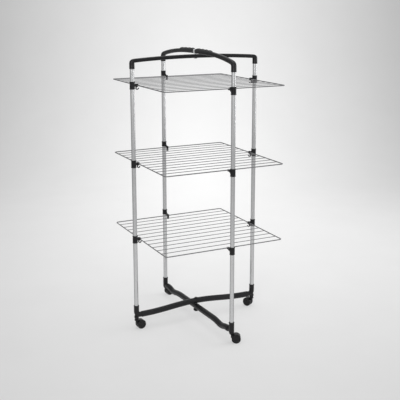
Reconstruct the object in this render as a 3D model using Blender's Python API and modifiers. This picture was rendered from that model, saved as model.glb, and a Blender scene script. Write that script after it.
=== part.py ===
"""Rolling three-tier clothes drying rack.

Two upright U-shaped frames cross in plan and turn on one vertical pin. Frame A
stands in the XZ plane, frame B close to the YZ plane, its bow over A's bow and
its base bar under A's base bar. Three wire shelves tip about the X axis in
clips on frame A, and their front and rear edges sit in hooks on frame B. Each
post ends in a foot with a swivelling twin-wheel caster.

Metres, Z up. The origin is on the floor, under the pin where the frames cross.
"""

import math

import bmesh
import bpy
from mathutils import Matrix, Vector

# Driving dimensions
TIER_HEIGHTS = (0.460, 0.830, 1.200)
A_REACH = 0.326
B_REACH = 0.348
B_TURN = math.radians(2.5)
SHELF_HALF_X = 0.304
SHELF_HALF_Y = 0.315

# Gap between pieces that touch, how far a cutter runs past what it cuts, how far
# a branch starts inside its piece, and the sides of round pieces
GAP = 0.0003
PAST = 0.010
ROOT = 0.004
ROUND_SIDES = 16
SMALL_SIDES = 12
BORE_SIDES = 18
MERGE = 0.00001

# Posts
TUBE_RADIUS = 0.010
TUBE_WALL = 0.0012
TUBE_INSERT = 0.030
SOCKET_HEIGHT = 1.276
SOCKET_RADIUS = 0.0128
SOCKET_CHAMFER = 0.006
SOCKET_SINK = 0.0015

# Bows: each falls from its top by the drop, as a power of the distance out
BOW_STEPS = 13
BOW_END = 0.005
BOW_EDGE = 0.003
BOW_A_TOP = 1.333
BOW_A_DROP = 0.012
BOW_A_POWER = 2.0
BOW_A_DEPTH = 0.018
BOW_A_WIDTH = 0.020
BOW_B_TOP = 1.3565
BOW_B_DROP = 0.033
BOW_B_POWER = 2.6
BOW_B_DEPTH = 0.020
BOW_B_WIDTH = 0.020
GRIP_INNER = 0.012
GRIP_OUTER = 0.140
GRIP_THICKNESS = 0.0024
GRIP_WIDTH = 0.014
GRIP_STEPS = 8
BAND_HALF = 0.006
BAND_WALL = 0.0015

# Base bars, feet and the pins that join the frames: a foot's spigot sits in the
# bar's end, and bar B dips before it meets its feet
BAR_RADIUS = 0.0145
BAR_INSERT = 0.016
BAR_STRAIGHT = 0.018
BAR_STEPS = 16
BAR_A_END = 0.072
BAR_A_RISE = 0.0175
BAR_A_DIP = 0.0
BAR_B_END = 0.060
BAR_B_RISE = 0.0
BAR_B_DIP = 0.009
DIP_START = 0.5
DIP_SKEW = 1.6
NECK_REACH = 0.026
NECK_A_RADIUS = 0.0126
NECK_B_RADIUS = 0.0110
SPIGOT_RADIUS = 0.0085
FOOT_BOTTOM = 0.0485
FOOT_A_TOP = 0.1215
FOOT_A_CHAMFER = 0.006
FOOT_B_TOP = 0.102
FOOT_B_CHAMFER = 0.003
PIN_RADIUS = 0.004
PIN_HEAD_RADIUS = 0.010
PIN_HEAD_HEIGHT = 0.005
PIN_TAIL = 0.011
NUT_RADIUS = 0.010
NUT_END_RADIUS = 0.007
NUT_HEIGHT = 0.012
NUT_END_HEIGHT = 0.004
NUT_FLOOR = 0.0015
NUT_GAP = 0.0010
BOW_PIN_RADIUS = 0.003
BOW_PIN_REACH = 0.014
BOW_PIN_HEAD_RADIUS = 0.007
BOW_PIN_HEAD_HEIGHT = 0.004
BOW_PIN_HEAD_EDGE = 0.001

# Shelves
EDGE_WIRE_RADIUS = 0.0025
ROD_RADIUS = 0.0016
ROD_LIFT = 0.0006
SHELF_CORNER = 0.012
CORNER_STEPS = 3
ROD_GAPS = 12
ROD_SIDES = 8

# Collars, clips and hooks
COLLAR_RADIUS = 0.013
COLLAR_HEIGHT = 0.036
BOSS_RADIUS = 0.0078
BOSS_FACE_GAP = 0.001
CLIP_RADIUS = 0.0072
CLIP_WIDTH = 0.012
CLIP_MOUTH = 0.0042
STUB_RADIUS = 0.0042
STUB_BORE_START = 0.006
TAB_NEAR = -0.0005
TAB_FAR = -0.0045
TAB_HALF = 0.0045
TAB_DROP = 0.018
HOOK_WIDTH = 0.012
HOOK_THICKNESS = 0.004
HOOK_LIP = 0.003
HOOK_PLAY = 0.0012
HOOK_STEP = 0.0004
HOOK_FRONT_SPAN = (-0.024, 0.012)
HOOK_FRONT_LIP = 0.002
HOOK_REAR_SPAN = (0.001, 0.027)
HOOK_REAR_LIP = 0.018

# Casters
WHEEL_RADIUS = 0.022
WHEEL_SIDES = 20
WHEEL_FLAT = WHEEL_RADIUS * math.cos(math.pi / WHEEL_SIDES)
WHEEL_WIDTH = 0.011
WHEEL_CHAMFER = 0.002
TRAIL = 0.022
WEB_HALF = 0.004
WHEEL_GAP = 0.0006
AXLE_RADIUS = 0.003
AXLE_INSET = 0.001
STEM_RADIUS = 0.0035
STEM_TOP = 0.076
STEM_FOOT = 0.0392
HUB_RADIUS = 0.011
HUB_BOTTOM = 0.0446
HUB_TOP = 0.0480
BOSS_WALL = 0.0025
BOSS_BOTTOM = 0.0382
BOSS_SINK = 0.001
WEB_BACK = -0.003
WEB_BOTTOM = 0.026
WEB_SINK = 0.0014
CHEEK_RADIUS = 0.0145
CHEEK_STEP = 0.0002
STEM_END_GAP = 0.0005
CASTER_ANGLES = {
    "left": math.radians(5),
    "right": math.radians(120),
    "front": math.radians(-27),
    "rear": math.radians(5),
}


def clear_scene():
    """Start from an empty scene."""
    for existing in list(bpy.data.objects):
        bpy.data.objects.remove(existing, do_unlink=True)


def make_material(name, colour, metallic, roughness):
    """A plain Principled material."""
    material = bpy.data.materials.new(name)
    material.use_nodes = True
    shader = material.node_tree.nodes["Principled BSDF"]
    shader.inputs["Base Color"].default_value = (*colour, 1.0)
    shader.inputs["Metallic"].default_value = metallic
    shader.inputs["Roughness"].default_value = roughness
    return material


# Solids are plain meshes until they are placed, so that copies can share one.

def evaluated_mesh(thing):
    """The mesh that an object evaluates to, with the object removed."""
    bpy.context.scene.collection.objects.link(thing)
    depsgraph = bpy.context.evaluated_depsgraph_get()
    mesh = bpy.data.meshes.new_from_object(thing.evaluated_get(depsgraph))
    bpy.data.objects.remove(thing, do_unlink=True)
    return mesh


def weld(mesh):
    """Close the seams of a mesh that came from a curve."""
    work = bmesh.new()
    work.from_mesh(mesh)
    bmesh.ops.remove_doubles(work, verts=work.verts, dist=MERGE)
    bmesh.ops.recalc_face_normals(work, faces=work.faces)
    work.to_mesh(mesh)
    work.free()
    return mesh


def moved(mesh, x=0.0, y=0.0, z=0.0, turn=None):
    """The mesh turned, then shifted."""
    matrix = Matrix.Translation(Vector((x, y, z)))
    if turn is not None:
        matrix = matrix @ turn
    mesh.transform(matrix)
    return mesh


def along_x():
    """Turns a solid's Z axis to X."""
    return Matrix.Rotation(math.pi / 2, 4, "Y")


def along_y():
    """Turns a solid's Z axis to Y."""
    return Matrix.Rotation(-math.pi / 2, 4, "X")


def cylinder(radius, bottom, top, sides):
    """A cylinder on the Z axis between two heights."""
    work = bmesh.new()
    bmesh.ops.create_cone(
        work,
        cap_ends=True,
        segments=sides,
        radius1=radius,
        radius2=radius,
        depth=top - bottom,
    )
    bmesh.ops.translate(work, verts=work.verts, vec=(0, 0, (top + bottom) / 2))
    mesh = bpy.data.meshes.new("cylinder")
    work.to_mesh(mesh)
    work.free()
    return mesh


def box(x_span, y_span, z_span):
    """A box between pairs of limits."""
    work = bmesh.new()
    bmesh.ops.create_cube(work, size=1.0)
    spans = (x_span, y_span, z_span)
    size = [high - low for low, high in spans]
    centre = [(high + low) / 2 for low, high in spans]
    bmesh.ops.scale(work, verts=work.verts, vec=size)
    bmesh.ops.translate(work, verts=work.verts, vec=centre)
    mesh = bpy.data.meshes.new("box")
    work.to_mesh(mesh)
    work.free()
    return mesh


def turned(profile, steps):
    """A profile of (radius, height) points turned about Z, closed off the axis."""
    mesh = bpy.data.meshes.new("turned")
    edges = [(i, i + 1) for i in range(len(profile) - 1)]
    if profile[0][0] > 0.0:
        edges.append((len(profile) - 1, 0))
    mesh.from_pydata([(radius, 0, z) for radius, z in profile], edges, [])
    thing = bpy.data.objects.new("turned", mesh)
    screw = thing.modifiers.new("Screw", "SCREW")
    screw.steps = steps
    screw.render_steps = steps
    screw.use_merge_vertices = True
    screw.merge_threshold = MERGE
    return evaluated_mesh(thing)


def rod_along(points, radius, cyclic=False):
    """A round rod along a line of points."""
    curve = bpy.data.curves.new("rod", "CURVE")
    curve.dimensions = "3D"
    curve.bevel_depth = radius
    curve.bevel_resolution = 2
    curve.use_fill_caps = not cyclic
    spline = curve.splines.new("POLY")
    spline.points.add(len(points) - 1)
    for point, place in zip(spline.points, points):
        point.co = (*place, 1.0)
    spline.use_cyclic_u = cyclic
    return weld(evaluated_mesh(bpy.data.objects.new("rod", curve)))


def plate(outline, thickness):
    """A closed (x, z) outline given a thickness along Y."""
    curve = bpy.data.curves.new("plate", "CURVE")
    curve.dimensions = "2D"
    curve.fill_mode = "BOTH"
    curve.extrude = thickness / 2
    spline = curve.splines.new("POLY")
    spline.points.add(len(outline) - 1)
    for point, (x, z) in zip(spline.points, outline):
        point.co = (x, z, 0.0, 1.0)
    spline.use_cyclic_u = True
    mesh = weld(evaluated_mesh(bpy.data.objects.new("plate", curve)))
    return moved(mesh, turn=Matrix.Rotation(math.pi / 2, 4, "X"))


def eased(mesh, width):
    """The mesh with its sharp edges cut at a slant."""
    thing = bpy.data.objects.new("eased", mesh)
    bevel = thing.modifiers.new("Bevel", "BEVEL")
    bevel.width = width
    bevel.segments = 1
    bevel.limit_method = "ANGLE"
    bevel.angle_limit = math.radians(50)
    return evaluated_mesh(thing)


def combined(mesh, others, operation):
    """The mesh joined with, or cut by, each of the others in turn."""
    for other in others:
        thing = bpy.data.objects.new("base", mesh)
        tool = bpy.data.objects.new("tool", other)
        bpy.context.scene.collection.objects.link(tool)
        modifier = thing.modifiers.new("Boolean", "BOOLEAN")
        modifier.operation = operation
        modifier.solver = "EXACT"
        modifier.object = tool
        mesh = evaluated_mesh(thing)
        bpy.data.objects.remove(tool, do_unlink=True)
    return mesh


def joined(mesh, *others):
    """The union of some meshes."""
    return combined(mesh, others, "UNION")


def cut(mesh, *cutters):
    """The mesh without the cutters' volume."""
    return combined(mesh, cutters, "DIFFERENCE")


def place(name, mesh, material, parent=None, location=(0, 0, 0), turn=0.0):
    """Put a finished solid into the rack under its node's name."""
    mesh.materials.clear()
    mesh.materials.append(material)
    mesh.shade_smooth()
    mesh.set_sharp_from_angle(angle=math.radians(35))
    thing = bpy.data.objects.new(name, mesh)
    RACK.objects.link(thing)
    thing.parent = parent
    thing.location = location
    thing.rotation_euler = (0, 0, turn)
    return thing


def make_axis(name, parent=None, location=(0, 0, 0), turn=0.0):
    """An empty on a joint's axis."""
    axis = bpy.data.objects.new(name, None)
    axis.empty_display_size = 0.05
    RACK.objects.link(axis)
    axis.parent = parent
    axis.location = location
    axis.rotation_euler = (0, 0, turn)
    return axis


# Frames

def post(bottom, top):
    """A steel tube open at both ends."""
    inner = TUBE_RADIUS - TUBE_WALL
    profile = [
        (TUBE_RADIUS, top),
        (TUBE_RADIUS, bottom),
        (inner, bottom),
        (inner, top),
    ]
    return turned(profile, ROUND_SIDES)


def arch_height(distance, reach, top, drop, power):
    """Height of a bow's upper side at a distance from its middle."""
    return top - drop * (abs(distance) / reach) ** power


def arch(reach, top, drop, power, depth, width):
    """An arched bar over the X axis, its ends a little past the posts' axes."""
    half = reach + BOW_END
    steps = [half * (2 * i / BOW_STEPS - 1) for i in range(BOW_STEPS + 1)]
    upper = [(x, arch_height(x, reach, top, drop, power)) for x in steps]
    lower = [(x, z - depth) for x, z in reversed(upper)]
    return eased(plate(upper + lower, width), BOW_EDGE)


def bow(reach, top, drop, power, depth, width):
    """An arched bar with a socket for a post at each end."""
    mesh = arch(reach, top, drop, power, depth, width)
    shoulder = top - drop - SOCKET_SINK
    neck = SOCKET_HEIGHT + TUBE_INSERT + GAP
    for side in (-1, 1):
        socket = turned(
            [
                (0.0, shoulder),
                (SOCKET_RADIUS - SOCKET_CHAMFER, shoulder),
                (SOCKET_RADIUS, shoulder - SOCKET_CHAMFER),
                (SOCKET_RADIUS, SOCKET_HEIGHT),
                (0.0, SOCKET_HEIGHT),
            ],
            ROUND_SIDES,
        )
        mesh = joined(mesh, moved(socket, x=side * reach))
    for side in (-1, 1):
        bore = cylinder(TUBE_RADIUS + GAP, SOCKET_HEIGHT - PAST, neck, BORE_SIDES)
        mesh = cut(mesh, moved(bore, x=side * reach))
    return mesh


def quarter_turn():
    """Turns what was built along X to lie along Y."""
    return Matrix.Rotation(math.pi / 2, 4, "Z")


def make_bow_a():
    """Frame A's bow, with the hole for the pin at its middle."""
    shape = (BOW_A_TOP, BOW_A_DROP, BOW_A_POWER, BOW_A_DEPTH, BOW_A_WIDTH)
    mesh = bow(A_REACH, *shape)
    under = BOW_A_TOP - BOW_A_DEPTH
    radius = BOW_PIN_RADIUS + GAP
    hole = cylinder(radius, under - PAST, BOW_A_TOP + PAST, SMALL_SIDES)
    return cut(mesh, hole)


def make_bow_b():
    """Frame B's taller bow, with a blind hole for the pin underneath."""
    shape = (BOW_B_TOP, BOW_B_DROP, BOW_B_POWER, BOW_B_DEPTH, BOW_B_WIDTH)
    mesh = bow(B_REACH, *shape)
    under = BOW_B_TOP - BOW_B_DEPTH
    end = under + BOW_PIN_REACH + GAP
    hole = cylinder(BOW_PIN_RADIUS + GAP, under - PAST, end, SMALL_SIDES)
    return moved(cut(mesh, hole), turn=quarter_turn())


def make_band():
    """The sleeve around the middle of frame B's bow."""
    half_width = BOW_B_WIDTH / 2 + GAP
    low = BOW_B_TOP - BOW_B_DEPTH - GAP
    high = BOW_B_TOP + GAP
    wall = BAND_WALL
    outer = box(
        (-half_width - wall, half_width + wall),
        (-BAND_HALF, BAND_HALF),
        (low - wall, high + wall),
    )
    inner = box(
        (-half_width, half_width),
        (-2 * BAND_HALF, 2 * BAND_HALF),
        (low, high),
    )
    hole = cylinder(BOW_PIN_RADIUS + GAP, low - PAST, low + BAND_WALL, SMALL_SIDES)
    return cut(outer, inner, hole)


def make_grip(side):
    """A soft strip on top of frame B's bow, at one side of its middle."""
    span = GRIP_OUTER - GRIP_INNER
    steps = [GRIP_INNER + span * i / GRIP_STEPS for i in range(GRIP_STEPS + 1)]
    lower = []
    for x in steps:
        height = arch_height(x, B_REACH, BOW_B_TOP, BOW_B_DROP, BOW_B_POWER)
        lower.append((side * x, height + GAP))
    upper = [(x, z + GRIP_THICKNESS) for x, z in reversed(lower)]
    mesh = plate(lower + upper, GRIP_WIDTH)
    return moved(mesh, turn=quarter_turn())


def bar_line(reach, end, rise, dip):
    """Points along a base bar: arched by the rise, and dipping near its ends."""
    tip = reach - NECK_REACH
    half = tip - BAR_STRAIGHT
    points = [(-tip, 0, end)]
    for i in range(BAR_STEPS + 1):
        share = 2 * i / BAR_STEPS - 1
        arched = rise * math.cos(math.pi / 2 * share) ** 2
        outward = max(0.0, (abs(share) - DIP_START) / (1 - DIP_START))
        dipped = dip * math.sin(math.pi * outward**DIP_SKEW) ** 2
        points.append((half * share, 0, end + arched - dipped))
    points.append((tip, 0, end))
    return points


def make_base_bar(reach, end, rise, dip):
    """A base bar with a hole for the hub pin and a bore in each end."""
    mesh = rod_along(bar_line(reach, end, rise, dip), BAR_RADIUS)
    middle = end + rise
    low = middle - BAR_RADIUS - PAST
    high = middle + BAR_RADIUS + PAST
    mesh = cut(mesh, cylinder(PIN_RADIUS + GAP, low, high, ROUND_SIDES))
    tip = reach - NECK_REACH
    seat = tip - BAR_INSERT - GAP
    for span in ((-tip - PAST, -seat), (seat, tip + PAST)):
        bore = cylinder(SPIGOT_RADIUS + GAP, *span, ROUND_SIDES)
        mesh = cut(mesh, moved(bore, z=end, turn=along_x()))
    return mesh


def make_foot(top, chamfer, branch_height, neck_radius):
    """A foot around a post's lower end, with a neck and a spigot along +X for the bar."""
    body = turned(
        [
            (0.0, top),
            (SOCKET_RADIUS, top),
            (SOCKET_RADIUS, FOOT_BOTTOM + chamfer),
            (SOCKET_RADIUS - chamfer, FOOT_BOTTOM),
            (0.0, FOOT_BOTTOM),
        ],
        ROUND_SIDES,
    )
    neck = cylinder(neck_radius, 0.0, NECK_REACH - GAP, ROUND_SIDES)
    neck = moved(neck, z=branch_height, turn=along_x())
    spigot = cylinder(SPIGOT_RADIUS, 0.0, NECK_REACH + BAR_INSERT, ROUND_SIDES)
    spigot = moved(spigot, z=branch_height, turn=along_x())
    seat = top - TUBE_INSERT - GAP
    tube_bore = cylinder(TUBE_RADIUS + GAP, seat, top + PAST, ROUND_SIDES)
    stem_end = STEM_TOP + GAP
    stem_bore = cylinder(STEM_RADIUS + GAP, FOOT_BOTTOM - PAST, stem_end, SMALL_SIDES)
    return cut(joined(body, neck, spigot), tube_bore, stem_bore)


def make_hub_pin():
    """The bolt through both base bars, with a domed head on top."""
    head = BAR_A_END + BAR_A_RISE + BAR_RADIUS + GAP
    foot = BAR_B_END + BAR_B_RISE - BAR_RADIUS - PIN_TAIL
    return turned(
        [
            (0.0, head + PIN_HEAD_HEIGHT),
            (0.6 * PIN_HEAD_RADIUS, head + 0.9 * PIN_HEAD_HEIGHT),
            (PIN_HEAD_RADIUS, head + 0.4 * PIN_HEAD_HEIGHT),
            (PIN_HEAD_RADIUS, head),
            (PIN_RADIUS, head),
            (PIN_RADIUS, foot),
            (0.0, foot),
        ],
        SMALL_SIDES,
    )


def make_hub_nut():
    """The cap nut under frame B's base bar."""
    high = BAR_B_END + BAR_B_RISE - BAR_RADIUS - NUT_GAP
    low = high - NUT_HEIGHT
    body = turned(
        [
            (0.0, high),
            (NUT_RADIUS, high),
            (NUT_RADIUS, low + NUT_END_HEIGHT),
            (NUT_END_RADIUS, low),
            (0.0, low),
        ],
        SMALL_SIDES,
    )
    bore = cylinder(PIN_RADIUS + GAP, low + NUT_FLOOR, high + PAST, SMALL_SIDES)
    return cut(body, bore)


def make_bow_pin():
    """The pin that holds the bows together where they cross."""
    head = BOW_A_TOP - BOW_A_DEPTH - GAP
    tip = BOW_B_TOP - BOW_B_DEPTH + BOW_PIN_REACH
    low = head - BOW_PIN_HEAD_HEIGHT
    return turned(
        [
            (0.0, tip),
            (BOW_PIN_RADIUS, tip),
            (BOW_PIN_RADIUS, head),
            (BOW_PIN_HEAD_RADIUS, head),
            (BOW_PIN_HEAD_RADIUS - BOW_PIN_HEAD_EDGE, low),
            (0.0, low),
        ],
        SMALL_SIDES,
    )


# Shelves and what holds them

def rod_offsets():
    """Places of the inner rods across the shelf."""
    pitch = 2 * SHELF_HALF_Y / ROD_GAPS
    return [pitch * i - SHELF_HALF_Y for i in range(1, ROD_GAPS)]


def shelf_loop():
    """Points along the edge wire, with rounded corners."""
    points = []
    corners = ((1, 1, 0), (-1, 1, 90), (-1, -1, 180), (1, -1, 270))
    for x_side, y_side, start in corners:
        centre_x = x_side * (SHELF_HALF_X - SHELF_CORNER)
        centre_y = y_side * (SHELF_HALF_Y - SHELF_CORNER)
        for i in range(CORNER_STEPS + 1):
            angle = math.radians(start + 90 * i / CORNER_STEPS)
            x = centre_x + SHELF_CORNER * math.cos(angle)
            y = centre_y + SHELF_CORNER * math.sin(angle)
            points.append((x, y, 0))
    return points


def make_shelf():
    """A wire shelf: an edge wire and rods along X between its sides."""
    mesh = rod_along(shelf_loop(), EDGE_WIRE_RADIUS, cyclic=True)
    rods = bmesh.new()
    for offset in rod_offsets():
        rod = cylinder(ROD_RADIUS, -SHELF_HALF_X, SHELF_HALF_X, ROD_SIDES)
        rods.from_mesh(moved(rod, y=offset, z=ROD_LIFT, turn=along_x()))
    rod_mesh = bpy.data.meshes.new("rods")
    rods.to_mesh(rod_mesh)
    rods.free()
    return joined(mesh, rod_mesh)


def post_bore(low, high):
    """The cutter for a collar's bore."""
    return cylinder(TUBE_RADIUS + GAP, low - PAST, high + PAST, ROUND_SIDES)


def make_collar():
    """A collar on frame A, its boss along +X bored for a clip's stub."""
    low = -COLLAR_HEIGHT / 2
    high = COLLAR_HEIGHT / 2
    face = A_REACH - SHELF_HALF_X - CLIP_RADIUS - BOSS_FACE_GAP
    boss = cylinder(BOSS_RADIUS, ROOT, face, SMALL_SIDES)
    boss = moved(boss, turn=along_x())
    stub_bore = cylinder(STUB_RADIUS + GAP, STUB_BORE_START, face + PAST, SMALL_SIDES)
    stub_bore = moved(stub_bore, turn=along_x())
    blank = joined(cylinder(COLLAR_RADIUS, low, high, ROUND_SIDES), boss)
    return cut(blank, post_bore(low, high), stub_bore)


def make_clip():
    """A clip around a shelf's side wire, with its stub along -X."""
    wire = cylinder(EDGE_WIRE_RADIUS + GAP, -CLIP_WIDTH, CLIP_WIDTH, SMALL_SIDES)
    wire = moved(wire, turn=along_y())
    ring = cylinder(CLIP_RADIUS, -CLIP_WIDTH / 2, CLIP_WIDTH / 2, SMALL_SIDES)
    ring = moved(ring, turn=along_y())
    reach = A_REACH - SHELF_HALF_X - TUBE_RADIUS - GAP
    stub = cylinder(STUB_RADIUS, -reach, -ROOT, SMALL_SIDES)
    stub = moved(stub, turn=along_x())
    tab = box((TAB_FAR, TAB_NEAR), (-TAB_HALF, TAB_HALF), (-TAB_DROP, -ROOT))
    gape = (ROD_LIFT - CLIP_MOUTH / 2, ROD_LIFT + CLIP_MOUTH / 2)
    mouth = box((0.0, CLIP_RADIUS + PAST), (-CLIP_WIDTH, CLIP_WIDTH), gape)
    return cut(joined(ring, stub, tab), wire, mouth)


def make_hook(side, span, lip_height):
    """A hook collar on frame B, its arm along +X under (1) or over (-1) the wire."""
    low, high = span
    wire = B_REACH - SHELF_HALF_Y
    seat = EDGE_WIRE_RADIUS + GAP
    lip_start = wire + EDGE_WIRE_RADIUS + HOOK_PLAY
    lip_end = lip_start + HOOK_LIP
    near = sorted((-side * seat, -side * (seat + HOOK_THICKNESS)))
    tall = sorted((-side * (seat + HOOK_THICKNESS), side * lip_height))
    half = HOOK_WIDTH / 2
    arm = box((ROOT, lip_end), (-half, half), near)
    narrow = half - HOOK_STEP
    lip = box((lip_start, lip_end + HOOK_STEP), (-narrow, narrow), tall)
    blank = joined(cylinder(COLLAR_RADIUS, low, high, ROUND_SIDES), arm, lip)
    return cut(blank, post_bore(low, high))


# Casters

def make_wheel():
    """A wheel disc with its axis along Y, outer side towards +Y, a flat down."""
    half = WHEEL_WIDTH / 2
    bore = AXLE_RADIUS + GAP
    mesh = turned(
        [
            (bore, half),
            (WHEEL_RADIUS - WHEEL_CHAMFER, half),
            (WHEEL_RADIUS, half - WHEEL_CHAMFER),
            (WHEEL_RADIUS, -half),
            (bore, -half),
        ],
        WHEEL_SIDES,
    )
    flat_down = Matrix.Rotation(math.pi / WHEEL_SIDES, 4, "Z")
    return moved(mesh, turn=along_y() @ flat_down)


def make_axle():
    """The axle that both wheels of a caster sit on."""
    half = WEB_HALF + WHEEL_GAP + WHEEL_WIDTH - AXLE_INSET
    return moved(cylinder(AXLE_RADIUS, -half, half, SMALL_SIDES), turn=along_y())


def make_stem():
    """The pin from a foot down into a caster."""
    return cylinder(STEM_RADIUS, STEM_FOOT, STEM_TOP, SMALL_SIDES)


def make_hood():
    """A caster's body, on the stem's axis, with the axle a trail along +X."""
    hub = cylinder(HUB_RADIUS, HUB_BOTTOM, HUB_TOP, ROUND_SIDES)
    boss_top = HUB_BOTTOM + BOSS_SINK
    boss = cylinder(STEM_RADIUS + BOSS_WALL, BOSS_BOTTOM, boss_top, SMALL_SIDES)
    web_span = (WEB_BOTTOM, HUB_BOTTOM + WEB_SINK)
    web = box((WEB_BACK, TRAIL), (-WEB_HALF, WEB_HALF), web_span)
    cheek_half = WEB_HALF + CHEEK_STEP
    cheek = cylinder(CHEEK_RADIUS, -cheek_half, cheek_half, ROUND_SIDES)
    cheek = moved(cheek, x=TRAIL, z=WHEEL_FLAT, turn=along_y())
    stem_low = STEM_FOOT - STEM_END_GAP
    stem_bore = cylinder(STEM_RADIUS + GAP, stem_low, HUB_TOP + PAST, SMALL_SIDES)
    axle_bore = cylinder(AXLE_RADIUS + GAP, -WEB_HALF - PAST, WEB_HALF + PAST, SMALL_SIDES)
    axle_bore = moved(axle_bore, x=TRAIL, z=WHEEL_FLAT, turn=along_y())
    return cut(joined(hub, boss, web, cheek), stem_bore, axle_bore)


def add_caster(name, parent, location, angle):
    """One caster on a post's axis, its wheels trailing at an angle."""
    stem = make_axis("swivel_" + name, parent, location, angle)
    place("hood_" + name, HOOD, BLACK_PLASTIC, stem)
    roll = make_axis("roll_" + name, stem, (TRAIL, 0, WHEEL_FLAT))
    place("axle_" + name, AXLE, BRIGHT_STEEL, roll)
    offset = WEB_HALF + WHEEL_GAP + WHEEL_WIDTH / 2
    for letter, side, turn in (("a", 1, 0.0), ("b", -1, math.pi)):
        spot = (0, side * offset, 0)
        place(f"wheel_{name}_{letter}", WHEEL, BLACK_TYRE, roll, spot, turn)


clear_scene()
RACK = bpy.data.collections.new("clothes_drying_rack")
bpy.context.scene.collection.children.link(RACK)

GREY_TUBE = make_material("grey_tube", (0.50, 0.51, 0.52), 0.6, 0.35)
GREY_WIRE = make_material("grey_wire", (0.36, 0.37, 0.38), 0.3, 0.45)
BLACK_PLASTIC = make_material("black_plastic", (0.022, 0.022, 0.024), 0.0, 0.45)
BLACK_GRIP = make_material("black_grip", (0.018, 0.018, 0.019), 0.0, 0.75)
BLACK_TYRE = make_material("black_tyre", (0.016, 0.016, 0.017), 0.0, 0.55)
GREY_BAND = make_material("grey_band", (0.45, 0.46, 0.47), 0.0, 0.5)
BRIGHT_STEEL = make_material("bright_steel", (0.62, 0.62, 0.63), 1.0, 0.3)

frame_a = make_axis("frame_a")
frame_b = make_axis("frame_b", turn=B_TURN)
A_SIDES = (("left", -1, 0.0), ("right", 1, math.pi))
B_SIDES = (("front", -1, math.pi / 2), ("rear", 1, -math.pi / 2))

post_a = post(FOOT_A_TOP - TUBE_INSERT, SOCKET_HEIGHT + TUBE_INSERT)
post_b = post(FOOT_B_TOP - TUBE_INSERT, SOCKET_HEIGHT + TUBE_INSERT)
foot_a = make_foot(FOOT_A_TOP, FOOT_A_CHAMFER, BAR_A_END, NECK_A_RADIUS)
foot_b = make_foot(FOOT_B_TOP, FOOT_B_CHAMFER, BAR_B_END, NECK_B_RADIUS)
bar_a = make_base_bar(A_REACH, BAR_A_END, BAR_A_RISE, BAR_A_DIP)
bar_b = make_base_bar(B_REACH, BAR_B_END, BAR_B_RISE, BAR_B_DIP)
bar_b = moved(bar_b, turn=quarter_turn())
pivot_collar = make_collar()
side_clip = make_clip()
wire_shelf = make_shelf()
steel_stem = make_stem()
hook_arms = {
    "front": make_hook(1, HOOK_FRONT_SPAN, HOOK_FRONT_LIP),
    "rear": make_hook(-1, HOOK_REAR_SPAN, HOOK_REAR_LIP),
}
WHEEL = make_wheel()
AXLE = make_axle()
HOOD = make_hood()

# Frame A
place("bow_a", make_bow_a(), BLACK_PLASTIC, frame_a)
place("base_bar_a", bar_a, BLACK_PLASTIC, frame_a)
place("hub_pin", make_hub_pin(), BRIGHT_STEEL, frame_a)
place("hub_nut", make_hub_nut(), BLACK_PLASTIC, frame_a)
place("bow_pin", make_bow_pin(), BRIGHT_STEEL, frame_a)
for side_name, sign, inward in A_SIDES:
    spot = (sign * A_REACH, 0, 0)
    place("post_" + side_name, post_a, GREY_TUBE, frame_a, spot)
    place("foot_" + side_name, foot_a, BLACK_PLASTIC, frame_a, spot, inward)
    place("stem_" + side_name, steel_stem, BRIGHT_STEEL, frame_a, spot)
    for tier, height in enumerate(TIER_HEIGHTS, start=1):
        spot_at_tier = (sign * A_REACH, 0, height)
        name = f"collar_{side_name}_{tier}"
        place(name, pivot_collar, BLACK_PLASTIC, frame_a, spot_at_tier, inward)
    add_caster(side_name, frame_a, spot, CASTER_ANGLES[side_name])

# Frame B
place("bow_b", make_bow_b(), BLACK_PLASTIC, frame_b)
place("bow_b_band", make_band(), GREY_BAND, frame_b)
place("grip_front", make_grip(-1), BLACK_GRIP, frame_b)
place("grip_rear", make_grip(1), BLACK_GRIP, frame_b)
place("base_bar_b", bar_b, BLACK_PLASTIC, frame_b)
for side_name, sign, inward in B_SIDES:
    spot = (0, sign * B_REACH, 0)
    place("post_" + side_name, post_b, GREY_TUBE, frame_b, spot)
    place("foot_" + side_name, foot_b, BLACK_PLASTIC, frame_b, spot, inward)
    place("stem_" + side_name, steel_stem, BRIGHT_STEEL, frame_b, spot)
    for tier, height in enumerate(TIER_HEIGHTS, start=1):
        spot_at_tier = (0, sign * B_REACH, height)
        name = f"hook_{side_name}_{tier}"
        place(name, hook_arms[side_name], BLACK_PLASTIC, frame_b, spot_at_tier, inward)
    add_caster(side_name, frame_b, spot, CASTER_ANGLES[side_name] - B_TURN)

# Shelves, each on the axis that it tips about
for tier, height in enumerate(TIER_HEIGHTS, start=1):
    tilt = make_axis(f"shelf_axis_{tier}", location=(0, 0, height))
    place(f"shelf_{tier}", wire_shelf, GREY_WIRE, tilt)
    for side_name, sign, inward in A_SIDES:
        spot = (sign * SHELF_HALF_X, 0, 0)
        place(f"clip_{side_name}_{tier}", side_clip, BLACK_PLASTIC, tilt, spot, inward)
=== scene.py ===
"""Looks for the rolling three-tier clothes drying rack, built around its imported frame.

Each visible piece is made in a local frame whose Z is up, then placed on its CAD
body. Metres throughout.
"""

import math

import bmesh
import bpy
from mathutils import Matrix, Vector


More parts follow.
